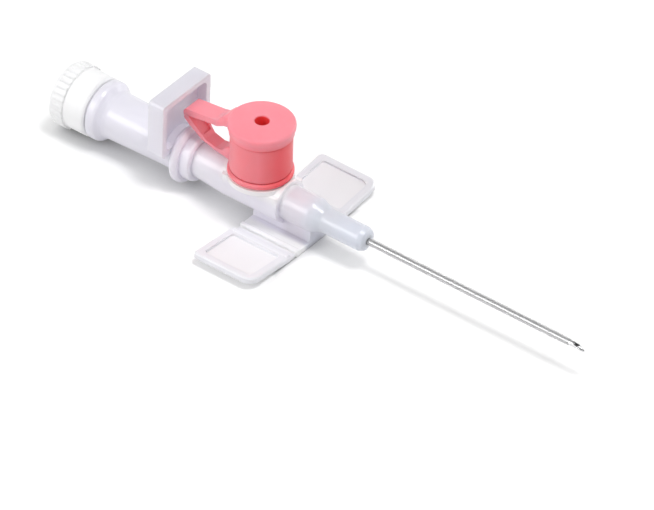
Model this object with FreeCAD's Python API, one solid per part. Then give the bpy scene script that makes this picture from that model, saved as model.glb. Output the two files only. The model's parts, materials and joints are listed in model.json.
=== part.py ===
import FreeCAD, Part
import math
import os

os.makedirs("parts", exist_ok=True)

# Peripheral intravenous cannula with an injection port and folding wings, in millimetres.
# It is drawn with the needle on the X axis, pointing to +X, with Z up and X = 0 at the hub's nose.
# Saving moves it so that the origin is in the middle of the wing root's flat underside.

# Fits
slip_gap = 0.02          # radial gap of a pressed or bonded fit
run_gap = 0.06           # radial gap of a fit that slides
face_gap = 0.05          # gap between flat faces that meet
pivot_gap = 0.05         # gap round the bead of a hinge
overshoot = 1.0          # how far a cut runs past the face that it opens
small_round = 0.55       # turned corners below this radius get one flat, and larger ones two

# Needle
needle_od = 0.74
needle_bore = 0.50
needle_reach = 34.9      # from the nose to the point
needle_tail = 5.5        # what stands behind the finger plate, in the blood chamber
bevel_length = 2.1
lancet_length = 1.6      # slope of the two side grinds at the point
lancet_turn = 38.0       # degrees that each side grind is turned about the needle

# Catheter and the steel eyelet that wedges it into the nose
catheter_gap = 0.03      # radial gap between needle and catheter
catheter_wall = 0.10
catheter_reach = 32.3    # from the nose to the catheter's end
catheter_taper = 2.2
catheter_tip_wall = 0.05
nose_grip = 0.03         # radius that the catheter loses where the nose grips it
flare_depth = 2.6        # how far inside the nose the flare ends
flare_length = 0.8
flare_hold = 2.0         # length of the flared end
eyelet_wall = 0.12
eyelet_collar = 1.6      # length of the eyelet's collar
eyelet_collar_wall = 0.75

# Catheter hub, stations counted back from the nose
nose_od = 3.42
nose_length = 7.7
nose_round = 0.9
nose_step = 0.9
wing_tube_od = 4.75
wing_tube_length = 5.2
body_od = 5.95
body_rear_od = 5.2
collar_od = 6.8
collar_length = 1.5
collar_round = 0.6
flange_od = 8.5
flange_length = 1.35
flange_round = 0.5
hub_length = 29.95
hub_bore = 3.8
funnel_end = 12.7        # where the bore starts to narrow towards the catheter
luer_mouth = 4.32
luer_depth = 7.6
luer_taper = 0.06        # loss of diameter for each millimetre of depth

# Injection port on the hub
port_back = 17.72        # port axis behind the nose
port_base_od = 8.9
port_base_top = 2.62
port_base_height = 0.7
port_base_cone = 1.2     # height of the cone that carries the base
saddle_width = 5.85
saddle_behind = 4.3
saddle_round = 0.5
chimney_od = 6.0
chimney_bore = 4.2
chimney_top = 9.0
chimney_round = 0.3
sleeve_wall = 0.35
sleeve_length = 8.0

# Port cap: ring and lid
ring_od = 8.75
ring_height = 0.85
ring_round = 0.25
lid_rise = 0.12          # gap between ring and skirt
skirt_od = 8.25
skirt_round = 0.15
lid_od = 8.96
lid_bottom = 9.65
lid_thickness = 1.15
lid_dome = 0.16
lid_rim_round = 0.42
lid_rim_drop = 0.55      # how far the disc's rim hangs below its underside
lid_hole = 2.0
lid_hole_depth = 3.6
lid_hole_round = 0.12
lid_web = 0.35           # step between the lid's disc and its stopper
stopper_depth = 2.9      # length of the stopper inside the chimney
stopper_tip = 0.5

# Port cap: strap
strap_width = 2.8
strap_foot_width = 2.0   # width of the lower leg at the ring
hinge_bead = 0.28        # radius of the bead at a strap hinge
strap_stand_off = 0.75   # hinges behind the skirt
strap_hinge_up = 0.6     # lower hinge above the ring
strap_hinge_down = 0.35  # upper hinge below the lid's disc
strap_reach = 6.3        # knuckle behind the other two hinges
knuckle_bead = 0.42
lug_bite = 0.6           # how deep a hinge lug reaches into the ring or the lid
lug_gap = 0.15           # gap between the ring's lug and the skirt
lug_edge = 0.2           # free edge of a hinge lug
leg_crease = 3.45        # crease of the lower leg behind its hinge
leg_crease_rise = 0.7    # crease above the ring
leg_dip = 0.12           # lowest part of the leg above the ring
leg_neck = 1.4           # from the hinge to the lowest part
leg_thin = 0.5           # thickness of the flat part of the leg
leg_thick = 0.95         # thickness of the hollow part
rib_thickness = 0.38     # side ribs of the hollow part
leg_floor = 0.35
neck = 0.42              # from a hinge to where the strap is free of its lug
neck_half = 0.2          # half the height of the strap beside a bead
arm_drop = 0.75          # upper arm below its hinge at the first bend
arm_bend = 1.55          # first bend behind the hinge
arm_fall = 0.6           # drop from the first bend to the knuckle
arm_thickness = 0.8
arm_elbow = 0.65         # half the length of the elbow over the knuckle
strap_round = 0.3
strap_bend_round = 1.2

# Wings
root_width = 9.4         # between the two hinge lines
root_top = -3.7
root_thickness = 0.85
root_round = 0.2
wing_front = 8.45        # front edge behind the nose
wing_depth = 9.7         # front edge to rear edge
root_step = 0.45         # how much shorter the root is at its rear end
wing_span = 27.3
wing_thickness = 0.95
wing_edge_round = 0.18
wing_rise = 6.2          # degrees that each wing rises outwards
groove_width = 1.2       # hinge groove across the hinge line
web_thickness = 0.30
web_rise = 0.30          # web above the underside of the root
wing_bead = 0.21
ridge_height = 0.22
ridge_width = 0.55
ridge_round = 0.12
wing_ridge_height = 0.11
wing_ridge_inset = 0.25
window_margin = 1.05
window_root_margin = 1.1
window_depth = 0.32
window_round = 0.6
corner_rear = 0.7
corner_front = 1.7
keel_top_width = 2.4
keel_foot_width = 2.9

# Needle hub: blood chamber, finger plate and male luer nose
plate_width = 9.96
plate_top = 9.68
plate_height = 8.43
plate_depth = 2.44
plate_floor = 0.95
plate_rim = 0.85
plate_corner = 0.55
plate_hollow_corner = 0.8
luer_nose_length = 6.9
luer_nose_round = 0.3
chamber_front_od = 6.2
chamber_rear_od = 6.6
chamber_neck_length = 1.7
chamber_flange_od = 8.34
chamber_flange_length = 1.45
chamber_flange_round = 0.45
chamber_length = 11.45   # from the plate's back to the flange's rear face
chamber_bore = 3.9
chamber_front_wall = 1.6
chamber_seat_depth = 5.6

# Vent plug behind the chamber
plug_od = 8.45
plug_length = 5.8
plug_round = 0.2
plug_grip_od = 9.05
plug_grip_length = 2.5
plug_grip_round = 0.8
grip_ribs = 32
grip_rib_depth = 0.15
plug_nose_length = 5.0
plug_nose_round = 0.25
plug_bore = 2.4
plug_back_wall = 1.1
vent_hole = 1.0
vent_dish = 3.8
vent_dish_floor = 3.0
vent_dish_depth = 0.5
filter_od = 3.0
filter_thickness = 0.9

# Places worked out from the sizes
catheter_bore = needle_od + 2 * catheter_gap
catheter_od = catheter_bore + 2 * catheter_wall
flare_bore = catheter_bore + 2 * eyelet_wall + 2 * slip_gap
flare_od = flare_bore + 2 * catheter_wall
nose_bore = catheter_od - 2 * nose_grip + 2 * slip_gap
flare_seat = flare_od + 2 * slip_gap
flare_start = -flare_depth + flare_length
flare_rear = -flare_depth - flare_hold
port_x = -port_back
saddle_front = -nose_length - wing_tube_length
hub_rear = -hub_length
root_bottom = root_top - root_thickness
pivot_y = root_width / 2
pivot_z = root_bottom + web_rise + web_thickness / 2
ring_bottom = port_base_top + face_gap
ring_top = ring_bottom + ring_height
skirt_bottom = ring_top + lid_rise
skirt_rear = port_x - skirt_od / 2
lug_bottom = body_od / 2 + face_gap
lid_top = lid_bottom + lid_thickness
strap_x = skirt_rear - strap_stand_off
strap_low = ring_top + strap_hinge_up
strap_high = lid_bottom - strap_hinge_down
knuckle_x = strap_x - strap_reach
knuckle_z = (strap_low + strap_high) / 2
plate_front = hub_rear - face_gap
plate_back = plate_front - plate_depth
chamber_rear = plate_back - chamber_length
plug_front = chamber_rear - face_gap
plug_rear = plug_front - plug_length
male_mouth = luer_mouth - 2 * slip_gap
base_x = -wing_front - wing_depth / 2


def vec(x, y, z):
    return FreeCAD.Vector(x, y, z)


# Three ways to lay a drawing of (across, up) points in space.
def on_side(y):
    return lambda u, v: vec(u, y, v)


def on_plan(z):
    return lambda u, v: vec(u, v, z)


def on_section(x):
    return lambda u, v: vec(x, u, v)


def outline(corners, place, flats=False):
    """Closed wire through (u, v, radius) corners, each rounded by its radius, or cut by flats instead."""
    points = [place(u, v) for u, v, radius in corners]
    ends = []
    for i, (u, v, radius) in enumerate(corners):
        here = points[i]
        back = points[i - 1] - here
        ahead = points[(i + 1) % len(points)] - here
        if radius <= 0:
            ends.append((here, None, here))
            continue
        half = back.getAngle(ahead) / 2
        reach = min(radius / math.tan(half), 0.5 * back.Length, 0.5 * ahead.Length)
        radius = reach * math.tan(half)
        back.normalize()
        ahead.normalize()
        middle = (back + ahead).normalize()
        depth = radius / math.sin(half) - radius
        ends.append((here + back * reach, here + middle * depth, here + ahead * reach))
    edges = []
    for i, (first, middle, last) in enumerate(ends):
        before = ends[i - 1][2]
        if before.distanceToPoint(first) > 1e-6:
            edges.append(Part.LineSegment(before, first).toShape())
        if middle is None:
            continue
        if not flats:
            edges.append(Part.Arc(first, middle, last).toShape())
        elif corners[i][2] < small_round:
            edges.append(Part.LineSegment(first, last).toShape())
        else:
            edges.append(Part.LineSegment(first, middle).toShape())
            edges.append(Part.LineSegment(middle, last).toShape())
    return Part.Wire(edges)


def extruded(corners, place, direction):
    return Part.Face(outline(corners, place)).extrude(direction)


def turned(corners, centre=None, axis=None):
    """Solid of revolution from (along, radius, rounding) corners, about X unless told otherwise."""
    if centre is None:
        face = Part.Face(outline(corners, on_side(0), True))
        return face.revolve(vec(0, 0, 0), vec(1, 0, 0), 360)
    face = Part.Face(outline(corners, lambda u, v: vec(centre.x + v, centre.y, u), True))
    return face.revolve(centre, axis, 360)


def upright(corners):
    """Solid of revolution about the port's upright axis, from (height, radius, rounding) corners."""
    return turned(corners, vec(port_x, 0, 0), vec(0, 0, 1))


def rod(radius, start, end):
    return Part.makeCylinder(radius, (end - start).Length, start, end - start)


def cross_rod(radius, x, z, width):
    """Rod across the cannula at (x, z), centred on its middle plane."""
    return Part.makeCylinder(radius, width, vec(x, -width / 2, z), vec(0, 1, 0))


def strap_plate(corners, width):
    """Side drawing of a strap piece, made as wide as the strap."""
    return extruded(corners, on_side(-width / 2), vec(0, width, 0))


def save(shape, node):
    shape = shape.removeSplitter()
    shape.translate(vec(-base_x, 0, -root_bottom))
    shape.exportStep("parts/" + node + ".step")


def tip_grind(length, turn):
    """Wedge above a plane that climbs back from the point, turned about the needle's axis."""
    slope = math.atan2(needle_od, length)
    end = needle_reach + length * (1 - math.cos(math.radians(turn))) / 2
    size = 3 * length
    block = Part.makeBox(size, size, size, vec(-size / 2, -size / 2, 0))
    block.rotate(vec(0, 0, 0), vec(0, 1, 0), math.degrees(slope))
    block.translate(vec(end, 0, -needle_od / 2))
    block.rotate(vec(0, 0, 0), vec(1, 0, 0), turn)
    return block


def make_needle():
    start = vec(plate_back - needle_tail, 0, 0)
    end = vec(needle_reach, 0, 0)
    tube = rod(needle_od / 2, start, end)
    tube = tube.cut(tip_grind(bevel_length, 0))
    for turn in (-lancet_turn, lancet_turn):
        tube = tube.cut(tip_grind(lancet_length, turn))
    return tube.cut(rod(needle_bore / 2, start, end))


def make_catheter():
    outer = catheter_od / 2
    inner = catheter_bore / 2
    return turned([
        (flare_rear, flare_od / 2, 0),
        (-flare_depth, flare_od / 2, 0),
        (flare_start, outer - nose_grip, 0),
        (0, outer - nose_grip, 0),
        (0, outer, 0),
        (catheter_reach - catheter_taper, outer, 0),
        (catheter_reach, inner + catheter_tip_wall, 0),
        (catheter_reach, inner, 0),
        (flare_start, inner, 0),
        (-flare_depth, flare_bore / 2, 0),
        (flare_rear, flare_bore / 2, 0),
    ])


def make_eyelet():
    inner = catheter_bore / 2
    collar_front = flare_rear - face_gap
    collar_rear = collar_front - eyelet_collar
    collar = inner + eyelet_collar_wall
    return turned([
        (collar_rear, collar, 0),
        (collar_front, collar, 0),
        (collar_front, inner + eyelet_wall, 0),
        (-flare_depth, inner + eyelet_wall, 0),
        (-flare_depth, inner, 0),
        (collar_front, inner, 0),
        (collar_rear, collar - eyelet_wall, 0),
    ])


def hub_outside():
    collar_front = hub_rear + flange_length + collar_length
    tube = turned([
        (hub_rear, 0, 0),
        (hub_rear, flange_od / 2, flange_round),
        (hub_rear + flange_length, flange_od / 2, flange_round),
        (hub_rear + flange_length, collar_od / 2, 0),
        (collar_front, collar_od / 2, collar_round),
        (collar_front, body_rear_od / 2, 0),
        (port_x - port_base_od / 2, body_od / 2, 0),
        (saddle_front, body_od / 2, 0),
        (saddle_front, wing_tube_od / 2, 0),
        (-nose_length - nose_step, wing_tube_od / 2, nose_step),
        (-nose_length + nose_step, nose_od / 2, nose_step),
        (0, nose_od / 2, nose_round),
        (0, 0, 0),
    ])
    base_low = port_base_top - port_base_height
    rear = port_x - saddle_behind
    half = saddle_width / 2
    saddle = extruded([
        (rear, -half, saddle_round),
        (saddle_front, -half, saddle_round),
        (saddle_front, half, saddle_round),
        (rear, half, saddle_round),
    ], on_plan(0), vec(0, 0, base_low))
    port = upright([
        (base_low - port_base_cone, 0, 0),
        (base_low - port_base_cone, saddle_width / 2, 0),
        (base_low, port_base_od / 2, 0),
        (port_base_top, port_base_od / 2, 0),
        (port_base_top, chimney_od / 2, 0),
        (chimney_top, chimney_od / 2, chimney_round),
        (chimney_top, 0, 0),
    ])
    seat = rod(port_base_od / 2, vec(port_x, 0, port_base_top), vec(port_x, 0, chimney_top))
    return tube.cut(seat).fuse([saddle, port])


def wing_root():
    """Keel and flat root under the hub, with a thin web out to each hinge line."""
    front = -wing_front
    rear = front - wing_depth + root_step
    run = vec(front - rear, 0, 0)
    middle = on_section(rear)
    top = keel_top_width / 2
    foot = keel_foot_width / 2
    keel_low = root_top - root_thickness / 2
    keel = extruded([
        (-foot, keel_low, 0), (foot, keel_low, 0),
        (top, -wing_tube_od / 4, 0), (-top, -wing_tube_od / 4, 0),
    ], middle, run)
    edge = pivot_y - groove_width / 2
    ridge = edge - ridge_width
    ridge_top = root_top + ridge_height
    slab = extruded([
        (-edge, root_bottom, root_round), (edge, root_bottom, root_round),
        (edge, ridge_top, ridge_round), (ridge, ridge_top, ridge_round),
        (ridge - ridge_width / 2, root_top, 0), (-ridge + ridge_width / 2, root_top, 0),
        (-ridge, ridge_top, ridge_round), (-edge, ridge_top, ridge_round),
    ], middle, run)
    web = Part.makeBox(run.x, root_width, web_thickness, vec(rear, -pivot_y, pivot_z - web_thickness / 2))
    root = keel.fuse([slab, web])
    for side in (-1, 1):
        start = vec(rear - overshoot, side * pivot_y, pivot_z)
        end = vec(front + overshoot, side * pivot_y, pivot_z)
        root = root.cut(rod(wing_bead + pivot_gap, start, end))
    return root


def hub_bores():
    mouth = luer_mouth / 2
    deep = mouth - luer_taper * luer_depth / 2
    collar_rear = flare_rear - face_gap - eyelet_collar - face_gap
    collar = catheter_bore / 2 + eyelet_collar_wall + slip_gap
    bore = turned([
        (hub_rear - overshoot, 0, 0),
        (hub_rear - overshoot, mouth, 0),
        (hub_rear, mouth, 0),
        (hub_rear + luer_depth, deep, 0),
        (hub_rear + luer_depth, hub_bore / 2, 0),
        (-funnel_end, hub_bore / 2, 0),
        (collar_rear, collar, 0),
        (flare_rear - face_gap, collar, 0),
        (flare_rear - face_gap, flare_seat / 2, 0),
        (-flare_depth, flare_seat / 2, 0),
        (flare_start, nose_bore / 2, 0),
        (overshoot, nose_bore / 2, 0),
        (overshoot, 0, 0),
    ])
    port = rod(chimney_bore / 2, vec(port_x, 0, 0), vec(port_x, 0, chimney_top + overshoot))
    return bore.fuse(port)


def make_hub():
    return hub_outside().fuse(wing_root()).cut(hub_bores())


def make_sleeve():
    outer = hub_bore / 2 - slip_gap
    return turned([
        (port_x - sleeve_length / 2, outer - sleeve_wall, 0),
        (port_x - sleeve_length / 2, outer, 0),
        (port_x + sleeve_length / 2, outer, 0),
        (port_x + sleeve_length / 2, outer - sleeve_wall, 0),
    ])


def make_wing(side):
    """Wing panel, drawn flat from its hinge line outwards and then tilted up."""
    front = -wing_front
    rear = front - wing_depth
    half_groove = groove_width / 2
    reach = wing_span / 2 - pivot_y
    low = -(pivot_z - root_bottom)
    high = low + wing_thickness
    panel = extruded([
        (rear, half_groove, 0), (front, half_groove, 0),
        (front, reach, corner_front), (rear, reach, corner_rear),
    ], on_plan(low), vec(0, 0, wing_thickness))
    rims = [e for e in panel.Edges if abs(e.BoundBox.ZMin - e.BoundBox.ZMax) < 1e-6]
    panel = panel.makeChamfer(wing_edge_round, rims)
    inner = half_groove + window_root_margin
    window = extruded([
        (rear + window_margin, inner, window_round),
        (front - window_margin, inner, window_round),
        (front - window_margin, reach - window_margin, corner_front - window_round),
        (rear + window_margin, reach - window_margin, window_round),
    ], on_plan(high - window_depth), vec(0, 0, wing_thickness))
    ridge_top = high + wing_ridge_height
    ridge = extruded([
        (half_groove, high - window_depth, 0), (half_groove, ridge_top, wing_ridge_height),
        (half_groove + ridge_width, ridge_top, wing_ridge_height),
        (inner - wing_ridge_height, high - window_depth, 0),
    ], on_section(rear + wing_ridge_inset), vec(wing_depth - 2 * wing_ridge_inset, 0, 0))
    hinge_rear = rear + root_step
    run = front - hinge_rear
    web = Part.makeBox(run, half_groove + ridge_width, web_thickness, vec(hinge_rear, 0, -web_thickness / 2))
    bead = rod(wing_bead, vec(hinge_rear, 0, 0), vec(front, 0, 0))
    wing = panel.cut(window).fuse([ridge, web, bead])
    wing.rotate(vec(0, 0, 0), vec(1, 0, 0), wing_rise)
    wing.translate(vec(0, pivot_y, pivot_z))
    if side < 0:
        wing = wing.mirror(vec(0, 0, 0), vec(0, 1, 0))
    return wing


def make_cap_ring():
    bore = chimney_od / 2 + slip_gap
    ring = upright([
        (ring_bottom, bore, 0),
        (ring_bottom, ring_od / 2, ring_round),
        (ring_top, ring_od / 2, ring_round),
        (ring_top, bore, 0),
    ])
    seat = hinge_bead + pivot_gap
    root = port_x - ring_od / 2 + lug_bite
    inside = skirt_rear - lug_gap
    lug = strap_plate([
        (root, lug_bottom, 0),
        (root, ring_top, 0),
        (inside, ring_top, 0),
        (inside, strap_low, 0),
        (strap_x, strap_low, 0),
        (strap_x, lug_bottom, lug_edge),
    ], strap_foot_width)
    chimney = upright([
        (0, 0, 0), (0, bore, 0), (chimney_top, bore, 0), (chimney_top, 0, 0),
    ])
    lug = lug.cut([cross_rod(seat, strap_x, strap_low, 2 * strap_width), chimney])
    return ring.fuse(lug)


def strap_waist(inset):
    """Plan of the lower leg: full width at the knuckle and narrower from the crease to the ring."""
    wide = strap_width / 2 - inset
    slim = strap_foot_width / 2 - inset
    crease_x = strap_x - leg_crease
    return extruded([
        (knuckle_x - 2 * knuckle_bead, -wide, 0), (knuckle_x + knuckle_bead, -wide, 0),
        (crease_x, -slim, 0), (strap_x + overshoot, -slim, 0),
        (strap_x + overshoot, slim, 0), (crease_x, slim, 0),
        (knuckle_x + knuckle_bead, wide, 0), (knuckle_x - 2 * knuckle_bead, wide, 0),
    ], on_plan(0), vec(0, 0, lid_top))


def make_lower_arm():
    """Strap leg from the ring's hinge up to the knuckle, with a hollow on its inner side."""
    bead_a = cross_rod(hinge_bead, strap_x, strap_low, strap_foot_width)
    bead_c = cross_rod(knuckle_bead, knuckle_x, knuckle_z, strap_width)
    crease = vec(strap_x - leg_crease, 0, ring_top + leg_crease_rise)
    rise = (vec(knuckle_x, 0, knuckle_z) - crease).normalize()
    inward = vec(-rise.z, 0, rise.x)
    if inward.x < 0:
        inward = inward * -1
    knuckle = vec(knuckle_x, 0, knuckle_z)
    outer_top = knuckle - inward * knuckle_bead
    inner_top = knuckle + inward * knuckle_bead
    outer_low = crease - inward * leg_thin
    dip = ring_top + leg_dip
    leg = strap_plate([
        (strap_x, strap_low - neck_half, 0),
        (strap_x, strap_low + neck_half, 0),
        (strap_x - neck, strap_low, strap_round),
        (strap_x - leg_neck, dip, strap_bend_round),
        (crease.x, crease.z, strap_round),
        (inner_top.x, inner_top.z, 0),
        (outer_top.x, outer_top.z, 0),
        (outer_low.x, outer_low.z, strap_bend_round),
        (strap_x - leg_neck, dip - leg_thin, strap_bend_round),
        (strap_x - neck, dip - leg_thin, neck_half),
    ], strap_width).common(strap_waist(0))
    start = crease + inward * leg_thick + rise * rib_thickness
    floor = crease - inward * (leg_thin - leg_floor) + rise * 2 * rib_thickness
    floor_top = outer_top + inward * leg_floor - rise * (knuckle_bead + neck_half)
    hollow = strap_plate([
        (start.x, start.z, 0),
        (floor.x, floor.z, neck_half),
        (floor_top.x, floor_top.z, neck_half),
        (floor_top.x + leg_thick * inward.x, floor_top.z + leg_thick * inward.z, 0),
    ], strap_width).common(strap_waist(rib_thickness))
    return leg.cut(hollow).fuse([bead_a, bead_c])


def make_upper_arm():
    """Strap arm from the knuckle to the lid's hinge."""
    bead_d = cross_rod(hinge_bead, strap_x, strap_high, strap_width)
    top = strap_high - arm_drop
    end = top - arm_fall
    arm = strap_plate([
        (strap_x, strap_high - neck_half, 0),
        (strap_x, strap_high + neck_half, 0),
        (strap_x - neck, strap_high + neck_half / 2, strap_round),
        (strap_x - arm_bend, top, strap_bend_round),
        (knuckle_x - arm_elbow, end, arm_elbow),
        (knuckle_x - knuckle_bead, knuckle_z, 0),
        (knuckle_x, knuckle_z + knuckle_bead, 0),
        (knuckle_x + arm_elbow, end - arm_thickness, strap_round),
        (strap_x - arm_bend, top - arm_thickness, strap_bend_round),
        (strap_x - neck, strap_high - 2 * neck_half, strap_round),
    ], strap_width)
    seat = cross_rod(knuckle_bead + pivot_gap, knuckle_x, knuckle_z, 2 * strap_width)
    return arm.cut(seat).fuse(bead_d)


def make_lid():
    bore = chimney_od / 2 + run_gap
    stopper = chimney_bore / 2 - run_gap
    stopper_end = chimney_top - stopper_depth
    hole_end = lid_top + lid_dome - lid_hole_depth
    rim_low = lid_bottom - lid_rim_drop
    lid = upright([
        (hole_end, 0, 0),
        (hole_end, lid_hole / 2, 0),
        (lid_top + lid_dome, lid_hole / 2, lid_hole_round),
        (lid_top, lid_od / 2, lid_rim_round),
        (rim_low, lid_od / 2, lid_rim_round),
        (rim_low, skirt_od / 2, 0),
        (skirt_bottom, skirt_od / 2, skirt_round),
        (skirt_bottom, bore, 0),
        (lid_bottom - lid_web, bore, 0),
        (lid_bottom - lid_web, stopper, 0),
        (stopper_end, stopper, stopper_tip),
        (stopper_end, 0, 0),
    ])
    seat = hinge_bead + pivot_gap
    root = skirt_rear + lug_bite
    top = lid_bottom + lid_web
    lug = strap_plate([
        (root, top, 0),
        (root, strap_high - lug_edge, 0),
        (skirt_rear - lug_gap, strap_high - lug_edge, 0),
        (strap_x, strap_high, 0),
        (strap_x, top, lug_edge),
    ], strap_width)
    return lid.fuse(lug.cut(cross_rod(seat, strap_x, strap_high, 2 * strap_width)))


def finger_plate():
    """Square dish that the fingertip pushes, open towards the port."""
    half = plate_width / 2
    low = plate_top - plate_height
    block = extruded([
        (-half, low, plate_corner), (half, low, plate_corner),
        (half, plate_top, plate_corner), (-half, plate_top, plate_corner),
    ], on_section(plate_back), vec(plate_depth, 0, 0))
    inner = half - plate_rim
    foot = low + plate_rim
    head = plate_top - plate_rim
    hollow = extruded([
        (-inner, foot, plate_hollow_corner), (inner, foot, plate_hollow_corner),
        (inner, head, plate_hollow_corner), (-inner, head, plate_hollow_corner),
    ], on_section(plate_back + plate_floor), vec(plate_depth, 0, 0))
    return block.cut(hollow)


def make_needle_hub():
    mouth = male_mouth / 2
    nose_end = mouth - luer_taper * luer_nose_length / 2
    nose_front = plate_front + luer_nose_length
    flange_front = chamber_rear + chamber_flange_length
    neck_front = flange_front + chamber_neck_length / 2
    outside = turned([
        (chamber_rear, 0, 0),
        (chamber_rear, chamber_flange_od / 2, chamber_flange_round),
        (flange_front, chamber_flange_od / 2, chamber_flange_round),
        (neck_front, chamber_rear_od / 2, chamber_neck_length),
        (plate_back, chamber_front_od / 2, 0),
        (plate_front, chamber_front_od / 2, 0),
        (plate_front, mouth, 0),
        (nose_front, nose_end, luer_nose_round),
        (nose_front, 0, 0),
    ])
    seat = luer_mouth / 2
    seat_end = seat - luer_taper * chamber_seat_depth / 2
    front_wall = plate_front - chamber_front_wall
    bore = turned([
        (chamber_rear - overshoot, 0, 0),
        (chamber_rear - overshoot, seat, 0),
        (chamber_rear, seat, 0),
        (chamber_rear + chamber_seat_depth, seat_end, 0),
        (chamber_rear + chamber_seat_depth, chamber_bore / 2, 0),
        (front_wall, chamber_bore / 2, 0),
        (front_wall, 0, 0),
    ])
    needle_way = rod(needle_od / 2 + slip_gap, vec(front_wall - overshoot, 0, 0), vec(0, 0, 0))
    return outside.fuse(finger_plate()).cut([bore, needle_way])


def grip_star():
    """Section of the plug's grip: ribs that stand out of its core all round."""
    core = plug_grip_od / 2 - grip_rib_depth
    pitch = 2 * math.pi / grip_ribs
    corners = []
    for i in range(grip_ribs):
        for share, height in ((-0.3, -1), (-0.15, 1), (0.15, 1), (0.3, -1)):
            radius = core + height * grip_rib_depth
            angle = (i + share) * pitch
            corners.append((radius * math.cos(angle), radius * math.sin(angle), 0))
    return extruded(corners, on_section(plug_rear), vec(plug_grip_length, 0, 0))


def make_plug():
    grip_front = plug_rear + plug_grip_length
    nose_front = plug_front + plug_nose_length
    nose = male_mouth / 2
    nose_end = nose - luer_taper * plug_nose_length / 2
    core = plug_grip_od / 2 - grip_rib_depth
    body = turned([
        (plug_rear, 0, 0),
        (plug_rear, core, plug_grip_round),
        (grip_front, core, 0),
        (grip_front, plug_od / 2, 0),
        (plug_front, plug_od / 2, plug_round),
        (plug_front, nose, 0),
        (nose_front, nose_end, plug_nose_round),
        (nose_front, 0, 0),
    ])
    grip = turned([
        (plug_rear, 0, 0),
        (plug_rear, plug_grip_od / 2 - plug_grip_round, 0),
        (plug_rear + plug_grip_round, plug_grip_od / 2, 0),
        (grip_front, plug_grip_od / 2, 0),
        (grip_front, 0, 0),
    ])
    bore_rear = plug_rear + plug_back_wall
    seat_front = bore_rear + filter_thickness + face_gap
    bore = turned([
        (bore_rear, 0, 0),
        (bore_rear, filter_od / 2 + slip_gap, 0),
        (seat_front, filter_od / 2 + slip_gap, 0),
        (seat_front, plug_bore / 2, 0),
        (nose_front + overshoot, plug_bore / 2, 0),
        (nose_front + overshoot, 0, 0),
    ])
    vent = rod(vent_hole / 2, vec(plug_rear - overshoot, 0, 0), vec(seat_front, 0, 0))
    dish = Part.makeCone(vent_dish / 2, vent_dish_floor / 2, vent_dish_depth,
                         vec(plug_rear, 0, 0), vec(1, 0, 0))
    return body.fuse(grip.common(grip_star())).cut([bore, vent, dish])


def make_filter():
    rear = plug_rear + plug_back_wall + face_gap / 2
    return rod(filter_od / 2, vec(rear, 0, 0), vec(rear + filter_thickness, 0, 0))


save(make_needle(), "needle_tube")
save(make_catheter(), "catheter_tube")
save(make_eyelet(), "catheter_eyelet")
save(make_hub(), "catheter_hub")
save(make_sleeve(), "valve_sleeve")
save(make_wing(1), "wing_left")
save(make_wing(-1), "wing_right")
save(make_cap_ring(), "cap_ring")
save(make_lower_arm(), "cap_lower_arm")
save(make_upper_arm(), "cap_upper_arm")
save(make_lid(), "cap_lid")
save(make_needle_hub(), "needle_hub")
save(make_plug(), "vent_plug")
save(make_filter(), "vent_filter")
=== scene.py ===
import json
import math

import bmesh
import bpy
from mathutils import Matrix, Vector


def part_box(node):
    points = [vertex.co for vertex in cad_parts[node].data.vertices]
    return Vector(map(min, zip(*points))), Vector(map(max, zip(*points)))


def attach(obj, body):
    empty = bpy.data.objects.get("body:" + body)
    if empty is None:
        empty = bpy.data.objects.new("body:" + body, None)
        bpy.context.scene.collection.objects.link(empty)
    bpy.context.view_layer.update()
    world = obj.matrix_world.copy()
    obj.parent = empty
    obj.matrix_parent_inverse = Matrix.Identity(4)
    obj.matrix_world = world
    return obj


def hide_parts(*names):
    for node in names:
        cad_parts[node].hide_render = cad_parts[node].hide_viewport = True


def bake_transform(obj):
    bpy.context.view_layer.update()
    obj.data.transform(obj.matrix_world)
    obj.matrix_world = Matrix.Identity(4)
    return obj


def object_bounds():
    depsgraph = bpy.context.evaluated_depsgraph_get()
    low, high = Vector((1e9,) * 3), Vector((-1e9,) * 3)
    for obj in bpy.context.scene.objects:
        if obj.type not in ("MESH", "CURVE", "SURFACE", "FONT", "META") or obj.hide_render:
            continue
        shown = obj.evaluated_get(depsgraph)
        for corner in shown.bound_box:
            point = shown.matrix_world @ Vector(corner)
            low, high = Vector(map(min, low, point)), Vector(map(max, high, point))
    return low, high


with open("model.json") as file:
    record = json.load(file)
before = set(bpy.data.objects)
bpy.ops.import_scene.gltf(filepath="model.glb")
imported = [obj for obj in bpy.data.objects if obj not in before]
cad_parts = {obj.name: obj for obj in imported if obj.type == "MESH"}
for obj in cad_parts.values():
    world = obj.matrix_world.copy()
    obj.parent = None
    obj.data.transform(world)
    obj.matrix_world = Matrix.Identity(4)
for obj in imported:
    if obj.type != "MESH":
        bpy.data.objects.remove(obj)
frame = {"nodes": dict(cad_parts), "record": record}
cad_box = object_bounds()
MM = 0.001


def mm_box(node):
    """Lowest and highest corners of a CAD node, in millimetres."""
    low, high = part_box(node)
    return Vector(low) / MM, Vector(high) / MM


# Places read from the frame, in millimetres
hub_high = mm_box("catheter_hub")[1]
plate_high = mm_box("needle_hub")[1]
lid_low, lid_high = mm_box("cap_lid")
wing_low, wing_high = mm_box("wing_left")
hinges = {
    joint["name"]: Vector(joint["pos_m"]) / MM
    for joint in frame["record"]["behaviour"]["joints"] if "pos_m" in joint
}
AXIS_Z = 4.55       # height of the needle's axis
LID_RADIUS = 4.48
HOLE_RADIUS = 1.0   # blind hole in the lid's top


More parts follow.
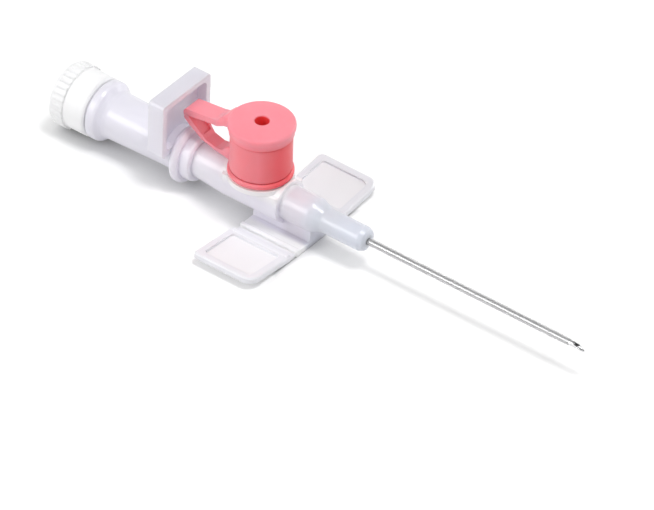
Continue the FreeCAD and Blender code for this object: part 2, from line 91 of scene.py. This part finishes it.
# Materials
class Nodes:
    """Small helper that adds and joins shader nodes."""

    def __init__(self, name):
        self.material = bpy.data.materials.new(name)
        self.material.use_nodes = True
        self.tree = self.material.node_tree
        self.shader = self.tree.nodes["Principled BSDF"]

    def add(self, kind, **settings):
        node = self.tree.nodes.new(kind)
        for key, value in settings.items():
            if key in node.inputs:
                node.inputs[key].default_value = value
            else:
                setattr(node, key, value)
        return node

    def link(self, source, target):
        self.tree.links.new(source, target)

    def set(self, **values):
        for name, value in values.items():
            self.shader.inputs[name.replace("_", " ")].default_value = value

    def place(self):
        return self.add("ShaderNodeTexCoord").outputs["Object"]

    def noise(self, scale, detail=3.0, stretch=(1, 1, 1)):
        """Noise in object space, in features per metre."""
        mapping = self.add("ShaderNodeMapping")
        mapping.inputs["Scale"].default_value = stretch
        self.link(self.place(), mapping.inputs["Vector"])
        noise = self.add("ShaderNodeTexNoise", Scale=scale, Detail=detail)
        self.link(mapping.outputs["Vector"], noise.inputs["Vector"])
        return noise.outputs["Fac"]

    def ramp(self, source, stops):
        ramp = self.add("ShaderNodeValToRGB")
        elements = ramp.color_ramp.elements
        while len(elements) < len(stops):
            elements.new(0.5)
        for element, (place, colour) in zip(elements, stops):
            element.position = place
            element.color = (*colour, 1)
        self.link(source, ramp.inputs["Fac"])
        return ramp.outputs["Color"]

    def span(self, source, low, high, start=0.3, end=0.7):
        span = self.add("ShaderNodeMapRange")
        span.inputs["From Min"].default_value = start
        span.inputs["From Max"].default_value = end
        span.inputs["To Min"].default_value = low
        span.inputs["To Max"].default_value = high
        self.link(source, span.inputs["Value"])
        return span.outputs["Result"]

    def math(self, kind, first, second):
        node = self.add("ShaderNodeMath", operation=kind)
        for socket, value in zip(node.inputs, (first, second)):
            if isinstance(value, (int, float)):
                socket.default_value = value
            else:
                self.link(value, socket)
        return node.outputs["Value"]

    def mix(self, share, first, second):
        """Colour between two colours, of which each is a socket or a fixed colour."""
        node = self.add("ShaderNodeMix", data_type="RGBA")
        self.link(share, node.inputs["Factor"])
        for socket, value in zip((node.inputs[6], node.inputs[7]), (first, second)):
            if isinstance(value, tuple):
                socket.default_value = (*value, 1)
            else:
                self.link(value, socket)
        return node.outputs[2]

    def bump(self, source, strength, distance, normal):
        bump = self.add("ShaderNodeBump", Strength=strength, Distance=distance)
        self.link(source, bump.inputs["Height"])
        self.link(normal, bump.inputs["Normal"])
        return bump.outputs["Normal"]

    def skin(self, source, strength, distance, edge, sink=0.0):
        """Fine skin over slightly sunken walls, on edges that are softened by a small radius."""
        normal = self.add("ShaderNodeBevel", Radius=edge, samples=4).outputs["Normal"]
        if sink:
            normal = self.bump(self.noise(150, 0), 1.0, sink, normal)
        self.link(self.bump(source, strength, distance, normal), self.shader.inputs["Normal"])


def linear(red, green, blue):
    """Scene colour of a display colour given as 0 to 255."""
    out = []
    for value in (red, green, blue):
        value /= 255
        out.append(value / 12.92 if value <= 0.04045 else ((value + 0.055) / 1.055) ** 2.4)
    return tuple(out)


def between(m, axis, low, high, blur):
    """1 where a coordinate, in millimetres, lies between low and high, fading over blur."""
    parts = m.add("ShaderNodeSeparateXYZ")
    m.link(m.place(), parts.inputs["Vector"])
    value = parts.outputs[axis]
    if axis == "Y":
        value = m.math("ABSOLUTE", value, 0.0)
    rise = m.span(value, 0, 1, (low - blur) * MM, (low + blur) * MM)
    fall = m.span(value, 1, 0, (high - blur) * MM, (high + blur) * MM)
    return m.math("MULTIPLY", rise, fall)


def overlap(m, *masks):
    """1 where each of the masks is 1."""
    result = masks[0]
    for mask in masks[1:]:
        result = m.math("MULTIPLY", result, mask)
    return result


def moulded(name, light, dark, rough, edge=0.00012, bump=0.05, sink=0.00015):
    """Moulded plastic: faint flow marks in its colour, slightly uneven gloss and a fine eroded skin."""
    m = Nodes(name)
    m.colour = m.ramp(m.noise(90, 3, (0.4, 1, 1)), [(0.3, dark), (0.7, light)])
    m.link(m.colour, m.shader.inputs["Base Color"])
    m.link(m.span(m.noise(420, 3), rough * 0.88, rough * 1.15), m.shader.inputs["Roughness"])
    m.skin(m.noise(5200, 2), bump, 0.00004, edge, sink)
    m.set(IOR=1.49)
    return m


def translucent(name, light, dark, rough=0.42, scatter=0.6, depth=0.0016):
    """Milky polypropylene that lets light in and has a thin gloss on top."""
    m = moulded(name, light, dark, rough)
    m.set(Subsurface_Weight=scatter, Subsurface_Radius=(1.0, 1.0, 1.0), Subsurface_Scale=depth)
    m.set(Coat_Weight=0.45, Coat_Roughness=0.17, Coat_IOR=1.5)
    return m


def make_wing_plastic():
    """Wing plastic, with painted light that makes the thin window lighter than the rim round it."""
    m = translucent("wing_plastic", linear(238, 238, 243), linear(235, 235, 240), 0.42, 0.3, 0.0006)
    margin, root_margin, blur = 1.15, 1.75, 0.12
    # Painted light: the thin window is lighter, as if light came through it
    window = overlap(
        m,
        between(m, "X", wing_low.x + margin, wing_high.x - margin, blur),
        between(m, "Y", hinges["left_wing_fold"].y + root_margin, wing_high.y - margin, blur),
    )
    m.link(m.mix(window, m.colour, linear(247, 246, 249)), m.shader.inputs["Base Color"])
    return m


def make_hub_plastic():
    """Hub plastic: greyer at the neck with painted shade, bluer at the nose, paler round the port, and paler
    on the wing root with painted light.
    """
    m = translucent("hub_plastic", linear(238, 235, 246), linear(234, 231, 243))
    nose_start = hub_high.x - 8.6
    nose = between(m, "X", nose_start, hub_high.x + 5, 1.2)
    port = overlap(
        m,
        between(m, "X", lid_low.x + 0.4, lid_high.x + 0.6, 0.5),
        between(m, "Z", AXIS_Z + 1.2, AXIS_Z + 5, 0.8),
    )
    # Painted light: the wing root, which lies in the body's shadow, is made paler
    root = overlap(m, between(m, "Z", -2, 1.2, 0.2), between(m, "Y", 2.2, 9, 0.4))
    # Painted shade: the neck in front of the port is greyer
    neck = between(m, "X", lid_high.x + 0.6, nose_start + 0.4, 0.6)
    colour = m.mix(neck, m.colour, linear(222, 218, 228))
    colour = m.mix(nose, colour, linear(214, 218, 229))
    colour = m.mix(port, colour, linear(252, 250, 253))
    colour = m.mix(root, colour, linear(255, 254, 255))
    m.link(colour, m.shader.inputs["Base Color"])
    return m


def make_clear_plastic():
    """Plastic of the chamber and finger plate, with painted light that pales the plate's thin face and
    painted shade that greys its top.
    """
    m = translucent("clear_plastic", linear(232, 230, 240), linear(229, 227, 237))
    # Painted light on the plate's thin face; painted shade on its top, which the lamp overhead lights most
    face = between(m, "X", plate_high.x - 2, plate_high.x + 1, 0.3)
    top = between(m, "Z", plate_high.z - 0.4, plate_high.z + 1, 0.2)
    colour = m.mix(face, m.colour, linear(232, 231, 238))
    m.link(m.mix(top, colour, linear(219, 217, 226)), m.shader.inputs["Base Color"])
    return m


def make_cap_plastic():
    """Pink satin plastic, with painted shade: redder on the skirt, deep red on the skirt's front and in the
    hole in the top.
    """
    m = moulded("cap_plastic", linear(255, 152, 164), linear(255, 146, 159), 0.42, edge=0.00015, bump=0.08)
    m.set(Subsurface_Weight=0.5, Subsurface_Radius=(1.0, 0.1, 0.1), Subsurface_Scale=0.0012)
    m.set(Coat_Weight=0.2, Coat_Roughness=0.35)
    middle = lid_high.x - LID_RADIUS
    reach = HOLE_RADIUS + 0.05
    # Painted shade in the blind hole in the top
    hole = overlap(
        m,
        between(m, "X", middle - reach, middle + reach, 0.03),
        between(m, "Y", -1, reach, 0.03),
        between(m, "Z", lid_high.z - 5, lid_high.z - 0.2, 0.1),
    )
    # Painted shade: the skirt redder than the lit top, and a darker red zone on its front
    skirt = overlap(m, between(m, "Z", 0, lid_high.z - 1.5, 0.3), between(m, "X", lid_low.x + 1.2, 9, 0.5))
    front = overlap(m, between(m, "Z", 0, lid_high.z - 2, 0.25), between(m, "X", middle + 3.1, 9, 0.9))
    colour = m.mix(skirt, m.colour, linear(253, 130, 140))
    colour = m.mix(front, colour, linear(242, 84, 92))
    m.link(m.mix(hole, colour, linear(246, 78, 80)), m.shader.inputs["Base Color"])
    return m


def make_metal(name, light, dark, rough):
    """Drawn steel with fine lengthwise marks."""
    m = Nodes(name)
    along = (0.05, 1, 1)
    m.link(m.ramp(m.noise(900, 4, along), [(0.3, dark), (0.7, light)]), m.shader.inputs["Base Color"])
    m.link(m.span(m.noise(1500, 3, along), rough * 0.8, rough * 1.3), m.shader.inputs["Roughness"])
    m.skin(m.noise(9000, 2, along), 0.04, 0.00001, 0.00003)
    m.set(Metallic=1.0)
    return m


hub_plastic = make_hub_plastic()
wing_plastic = make_wing_plastic()
cap_plastic = make_cap_plastic()
clear_plastic = make_clear_plastic()
white_plastic = moulded("white_plastic", linear(253, 253, 254), linear(251, 251, 252), 0.5, edge=0.0003)
white_plastic.set(Subsurface_Weight=0.4, Subsurface_Radius=(1.0, 1.0, 1.0), Subsurface_Scale=0.002)
silicone = moulded("silicone", linear(222, 222, 216), linear(214, 214, 209), 0.5)
silicone.set(Subsurface_Weight=0.3, Subsurface_Radius=(1.0, 1.0, 1.0), Subsurface_Scale=0.001)
filter_cloth = moulded("filter_disc", linear(244, 244, 240), linear(228, 228, 222), 0.9, bump=0.6)
steel = make_metal("steel", linear(228, 228, 229), linear(208, 208, 210), 0.2)
catheter = moulded(
    "catheter", linear(240, 240, 240), linear(234, 234, 234), 0.14, edge=0.00003, bump=0.008, sink=0,
)
catheter.set(Transmission_Weight=0.85)

finishes = {
    "needle_tube": steel, "catheter_eyelet": steel, "catheter_tube": catheter,
    "catheter_hub": hub_plastic, "wing_left": wing_plastic, "wing_right": wing_plastic,
    "valve_sleeve": silicone, "cap_ring": cap_plastic, "cap_lower_arm": cap_plastic,
    "cap_upper_arm": cap_plastic, "cap_lid": cap_plastic, "needle_hub": clear_plastic,
    "vent_plug": white_plastic, "vent_filter": filter_cloth,
}
for node, finish in finishes.items():
    mesh = frame["nodes"][node].data
    mesh.materials.clear()
    mesh.materials.append(finish.material)


# Pieces
WELD_DISTANCE = 1e-8
SHARP_ANGLE = math.radians(40)
ON_AXIS = 1e-9   # a smaller radius counts as on a turned piece's axis


def add_piece(name, points, faces, finish):
    """Mesh piece from points in millimetres."""
    mesh = bpy.data.meshes.new(name)
    mesh.from_pydata([Vector(p) * MM for p in points], [], faces)
    mesh.materials.append(finish.material)
    piece = bpy.data.objects.new(name, mesh)
    bpy.context.scene.collection.objects.link(piece)
    bm = bmesh.new()
    bm.from_mesh(mesh)
    bmesh.ops.remove_doubles(bm, verts=bm.verts, dist=WELD_DISTANCE)
    bmesh.ops.recalc_face_normals(bm, faces=bm.faces)
    bm.to_mesh(mesh)
    bm.free()
    for polygon in mesh.polygons:
        polygon.use_smooth = True
    mesh.set_sharp_from_angle(angle=SHARP_ANGLE)
    return piece


def rounded(corners, steps=6):
    """Points of a drawing of (u, v, radius) corners, with each corner rounded by its radius."""
    out = []
    for i, (u, v, radius) in enumerate(corners):
        here = Vector((u, v))
        if radius <= 0:
            out.append(here)
            continue
        back = Vector(corners[i - 1][:2]) - here
        ahead = Vector(corners[(i + 1) % len(corners)][:2]) - here
        half = back.angle(ahead) / 2
        reach = min(radius / math.tan(half), 0.49 * back.length, 0.49 * ahead.length)
        first = here + back.normalized() * reach
        last = here + ahead.normalized() * reach
        for k in range(steps + 1):
            t = k / steps
            out.append((1 - t) ** 2 * first + 2 * t * (1 - t) * here + t * t * last)
    return out


def lathe(name, centre, corners, finish, around=96):
    """Turned piece about an upright axis, from (radius, height, rounding) corners of a closed drawing."""
    drawing = rounded(corners)
    points, faces = [], []
    for k in range(around):
        turn = 2 * math.pi * k / around
        for p in drawing:
            points.append((centre.x + p.x * math.cos(turn), centre.y + p.x * math.sin(turn), p.y))
    count = len(drawing)
    for k in range(around):
        for i in range(count):
            j = (i + 1) % count
            a, b = k * count, (k + 1) % around * count
            first_on_axis = drawing[i].x < ON_AXIS
            second_on_axis = drawing[j].x < ON_AXIS
            if first_on_axis and second_on_axis:
                continue
            if first_on_axis:
                faces.append((a + i, a + j, b + j))
            elif second_on_axis:
                faces.append((a + i, a + j, b + i))
            else:
                faces.append((a + i, a + j, b + j, b + i))
    return add_piece(name, points, faces, finish)


def joined(count, sections):
    """Faces of a closed body whose sections, of so many points each, follow one another."""
    faces = []
    for k in range(sections - 1):
        for i in range(count):
            j = (i + 1) % count
            faces.append((k * count + i, k * count + j, (k + 1) * count + j, (k + 1) * count + i))
    faces.append(tuple(range(count)))
    faces.append(tuple(range((sections - 1) * count, sections * count)))
    return faces


def strip(name, corners, half_width, finish, rows=5, edge=0.1):
    """Bar across the cannula with a rounded side drawing of (x, z, radius) corners and eased ends."""
    drawing = rounded(corners)
    middle = sum(drawing, Vector((0, 0))) / len(drawing)
    stations = [(-half_width, edge), (-half_width + edge * 0.3, edge * 0.3), (-half_width + edge, 0)]
    for k in range(1, rows):
        stations.append((-half_width + edge + k * 2 * (half_width - edge) / rows, 0))
    stations += [(half_width - edge, 0), (half_width - edge * 0.3, edge * 0.3), (half_width, edge)]
    points = []
    for y, inset in stations:
        for p in drawing:
            inward = (middle - p).normalized() * inset
            points.append((p.x + inward.x, y, p.y + inward.y))
    return add_piece(name, points, joined(len(drawing), len(stations)), finish)


def make_lid_hinge():
    """Thin moulded strap end that runs from the upper arm into the lid's disc."""
    pivot = hinges["lid_level"]
    edge = lid_low.x + 0.75
    x, z = pivot.x, pivot.z
    piece = strip("lid_hinge", [
        (x - 1.9, z - 0.76, 0), (x - 1.35, z - 0.62, 0.8), (x - 0.35, z + 0.42, 0.8), (edge, z + 0.62, 0),
        (edge, z - 0.8, 0), (x - 0.3, z - 1.05, 0.8), (x - 1.4, z - 1.62, 0.8), (x - 1.9, z - 1.62, 0),
    ], 1.43, cap_plastic, edge=0.05)
    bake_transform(piece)


def make_ring_hinge():
    """Thin moulded strap end that runs from the ring into the lower leg."""
    pivot = hinges["cap_lift"]
    x, z = pivot.x, pivot.z
    inner = x + 0.56
    piece = strip("ring_hinge", [
        (x - 1.7, z - 0.36, 0), (x - 0.8, z - 0.3, 0.8), (x - 0.1, z + 0.5, 0.5), (inner, z + 0.75, 0.15),
        (inner, z - 1.35, 0), (x - 0.1, z - 1.2, 0.5), (x - 0.8, z - 1.0, 0.8), (x - 1.7, z - 0.95, 0),
    ], 1.03, cap_plastic)
    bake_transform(piece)


def make_wing_hinge(side):
    """Thin moulded web that joins a wing to the root."""
    name = "left" if side > 0 else "right"
    pivot = hinges[name + "_wing_fold"]
    half_wide, half_high, rows = 0.46, 0.225, 12
    rear = wing_low.x + 0.5
    front = wing_high.x - 0.04
    corners = [(-half_wide, -half_high, 0.08), (half_wide, -half_high, 0.08),
               (half_wide, half_high, 0.08), (0, half_high * 0.98, 0.3), (-half_wide, half_high, 0.08)]
    drawing = rounded(corners, 3)
    points = []
    for k in range(rows + 1):
        x = rear + (front - rear) * k / rows
        for p in drawing:
            points.append((x, pivot.y + p.x, pivot.z + p.y))
    faces = joined(len(drawing), rows + 1)
    piece = add_piece(name + "_wing_web", points, faces, wing_plastic)
    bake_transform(piece)


def make_lid():
    """Port cap: domed disc with a blind hole, a narrow band under it, and the skirt round the port."""
    centre = (lid_low + lid_high) / 2
    centre.x = lid_high.x - LID_RADIUS
    skirt, bore, stopper = 4.125, 3.06, 2.04
    band, groove = skirt + 0.16, skirt - 0.1
    top, low = lid_high.z, lid_low.z
    edge = top - 0.17
    band_top = edge - 0.84
    band_low = edge - 1.75
    groove_low = band_low - 0.2
    hole_floor = top - 3.6
    roof = top - 1.7
    stopper_low = top - 4.85
    piece = lathe("lid_shell", centre, [
        (0, hole_floor, 0), (HOLE_RADIUS, hole_floor, 0.3), (HOLE_RADIUS, top - 0.02, 0.14),
        (LID_RADIUS, edge, 0.42), (LID_RADIUS, band_top + 0.04, 0.2),
        (band, band_top, 0.06), (band, band_low, 0.1),
        (groove, band_low - 0.03, 0.03), (groove, groove_low + 0.03, 0.03), (skirt, groove_low, 0.05),
        (skirt, low, 0.16), (bore, low, 0.05),
        (bore, roof, 0), (stopper, roof, 0), (stopper, stopper_low, 0.4), (0, stopper_low, 0),
    ], cap_plastic)
    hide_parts("cap_lid")
    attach(piece, "lid")


make_lid()
make_lid_hinge()
make_ring_hinge()
make_wing_hinge(1)
make_wing_hinge(-1)


# Camera at the photograph's angle
AZIMUTH, ELEVATION, ROLL = 36.5972, 38.6125, 1.8608
DISTANCE, SHIFT_RIGHT, SHIFT_UP = 1500.0, 5.3587, 1.7678
FOCAL_PIXELS, IMAGE_WIDTH = 11649.3, 654
NOSE = Vector((hub_high.x, 0, AXIS_Z))


def set_camera():
    """Camera that looks at the nose, which lies beside the middle of the picture by the two shifts."""
    a, e, r = (math.radians(v) for v in (AZIMUTH, ELEVATION, ROLL))
    back = Vector((math.sin(a) * math.cos(e), -math.cos(a) * math.cos(e), math.sin(e)))
    level = Vector((math.cos(a), math.sin(a), 0))
    rise = back.cross(level)
    right = math.cos(r) * level + math.sin(r) * rise
    up = -math.sin(r) * level + math.cos(r) * rise
    place = (NOSE + back * DISTANCE - right * SHIFT_RIGHT - up * SHIFT_UP) * MM
    data = bpy.data.cameras.new("camera")
    data.sensor_width = 36
    data.sensor_fit = "HORIZONTAL"
    data.lens = 36 * FOCAL_PIXELS / IMAGE_WIDTH
    data.clip_start = 0.1
    data.clip_end = 10
    camera = bpy.data.objects.new("camera", data)
    camera.matrix_world = Matrix.Translation(place) @ Matrix((right, up, back)).transposed().to_4x4()
    bpy.context.scene.collection.objects.link(camera)
    bpy.context.scene.camera = camera


# Floor and light
LIGHT_DISTANCE = 0.6
FLOOR_GLOW = 0.24                          # glow of the floor for the camera and reflections
CEILING_TILT = (0, 0.4, 1)                 # the ceiling is seen far along this direction
CEILING_START, CEILING_FULL = 0.78, 0.92
CEILING_SHADE = 0.3


def area_light(name, direction, size, power):
    """Square soft light that shines on the middle of the object from that direction."""
    data = bpy.data.lights.new(name, "AREA")
    data.shape = "SQUARE"
    data.size = size
    data.energy = power
    light = bpy.data.objects.new(name, data)
    aim = Vector((0, 0, AXIS_Z * MM))
    direction = direction.normalized()
    light.location = aim + direction * LIGHT_DISTANCE
    light.rotation_euler = direction.to_track_quat("Z", "Y").to_euler()
    bpy.context.scene.collection.objects.link(light)


def make_floor():
    """White paper, which the camera and reflections see lit from behind as well, with a painted contact
    shadow close to the tube.
    """
    low = cad_box[0][2]
    half = 1.2
    mesh = bpy.data.meshes.new("floor")
    corners = [(-half, -half, low), (half, -half, low), (half, half, low), (-half, half, low)]
    mesh.from_pydata(corners, [], [(0, 1, 2, 3)])
    floor = bpy.data.objects.new("floor", mesh)
    bpy.context.scene.collection.objects.link(floor)
    m = Nodes("floor")
    # Painted contact shadow: ambient occlusion darkens the paper's colour and glow close to the tube, but not
    # beside the wings
    uncovered = m.add("ShaderNodeAmbientOcclusion", Distance=0.0055, samples=16).outputs["AO"]
    off_tube = m.math("SUBTRACT", 1.0, between(m, "Y", -9, 8.5, 1.5))
    uncovered = m.math("MAXIMUM", uncovered, off_tube)
    painted_contact_shadow = m.ramp(uncovered, [(0.05, (0.2, 0.2, 0.2)), (0.3, (0.58, 0.58, 0.59)), (0.75, (1, 1, 1))])
    paper = m.ramp(m.noise(6, 2), [(0.3, (0.82, 0.82, 0.82)), (0.7, (0.84, 0.84, 0.84))])
    path = m.add("ShaderNodeLightPath").outputs
    seen = m.math("MAXIMUM", path["Is Camera Ray"], path["Is Glossy Ray"])
    seen = m.math("MAXIMUM", seen, path["Is Transmission Ray"])
    shaded = m.add("ShaderNodeMix", data_type="RGBA", blend_type="MULTIPLY")
    m.link(seen, shaded.inputs["Factor"])
    m.link(paper, shaded.inputs[6])
    m.link(painted_contact_shadow, shaded.inputs[7])
    m.link(shaded.outputs[2], m.shader.inputs["Base Color"])
    m.link(painted_contact_shadow, m.shader.inputs["Emission Color"])
    m.link(m.span(seen, 0, FLOOR_GLOW, 0, 1), m.shader.inputs["Emission Strength"])
    m.set(Roughness=0.9, Specular_IOR_Level=0.1)
    mesh.materials.append(m.material)


def set_world(strength):
    """White surroundings: dim as a light, and seen as white paper with a darker ceiling at the back."""
    world = bpy.data.worlds.new("studio")
    world.use_nodes = True
    tree = world.node_tree
    light = tree.nodes["Background"]
    light.inputs["Color"].default_value = (1, 1, 1, 1)
    light.inputs["Strength"].default_value = strength
    seen = tree.nodes.new("ShaderNodeBackground")
    seen.inputs["Strength"].default_value = 1.0
    height = tree.nodes.new("ShaderNodeVectorMath")
    height.operation = "DOT_PRODUCT"
    height.inputs[1].default_value = CEILING_TILT
    tree.links.new(tree.nodes.new("ShaderNodeTexCoord").outputs["Generated"], height.inputs[0])
    paper = tree.nodes.new("ShaderNodeValToRGB")
    stops = ((CEILING_START, 1.0), (CEILING_FULL, CEILING_SHADE))
    for element, (place, shade) in zip(paper.color_ramp.elements, stops):
        element.position = place
        element.color = (shade, shade, shade, 1)
    tree.links.new(height.outputs["Value"], paper.inputs["Fac"])
    tree.links.new(paper.outputs["Color"], seen.inputs["Color"])
    path = tree.nodes.new("ShaderNodeLightPath").outputs
    share = path["Is Camera Ray"]
    for ray in ("Is Glossy Ray", "Is Transmission Ray"):
        either = tree.nodes.new("ShaderNodeMath")
        either.operation = "MAXIMUM"
        tree.links.new(share, either.inputs[0])
        tree.links.new(path[ray], either.inputs[1])
        share = either.outputs["Value"]
    mix = tree.nodes.new("ShaderNodeMixShader")
    tree.links.new(share, mix.inputs["Fac"])
    tree.links.new(light.outputs["Background"], mix.inputs[1])
    tree.links.new(seen.outputs["Background"], mix.inputs[2])
    tree.links.new(mix.outputs["Shader"], tree.nodes["World Output"].inputs["Surface"])
    bpy.context.scene.world = world


set_camera()
make_floor()
set_world(0.45)
area_light("side", Vector((-0.55, -0.75, 0.5)), size=0.26, power=1.15)
area_light("key", Vector((0.25, 0.0, 1.0)), size=0.16, power=1.6)
area_light("rim", Vector((0.3, 0.95, 0.35)), size=0.22, power=0.6)
bpy.context.scene.view_settings.view_transform = "Standard"
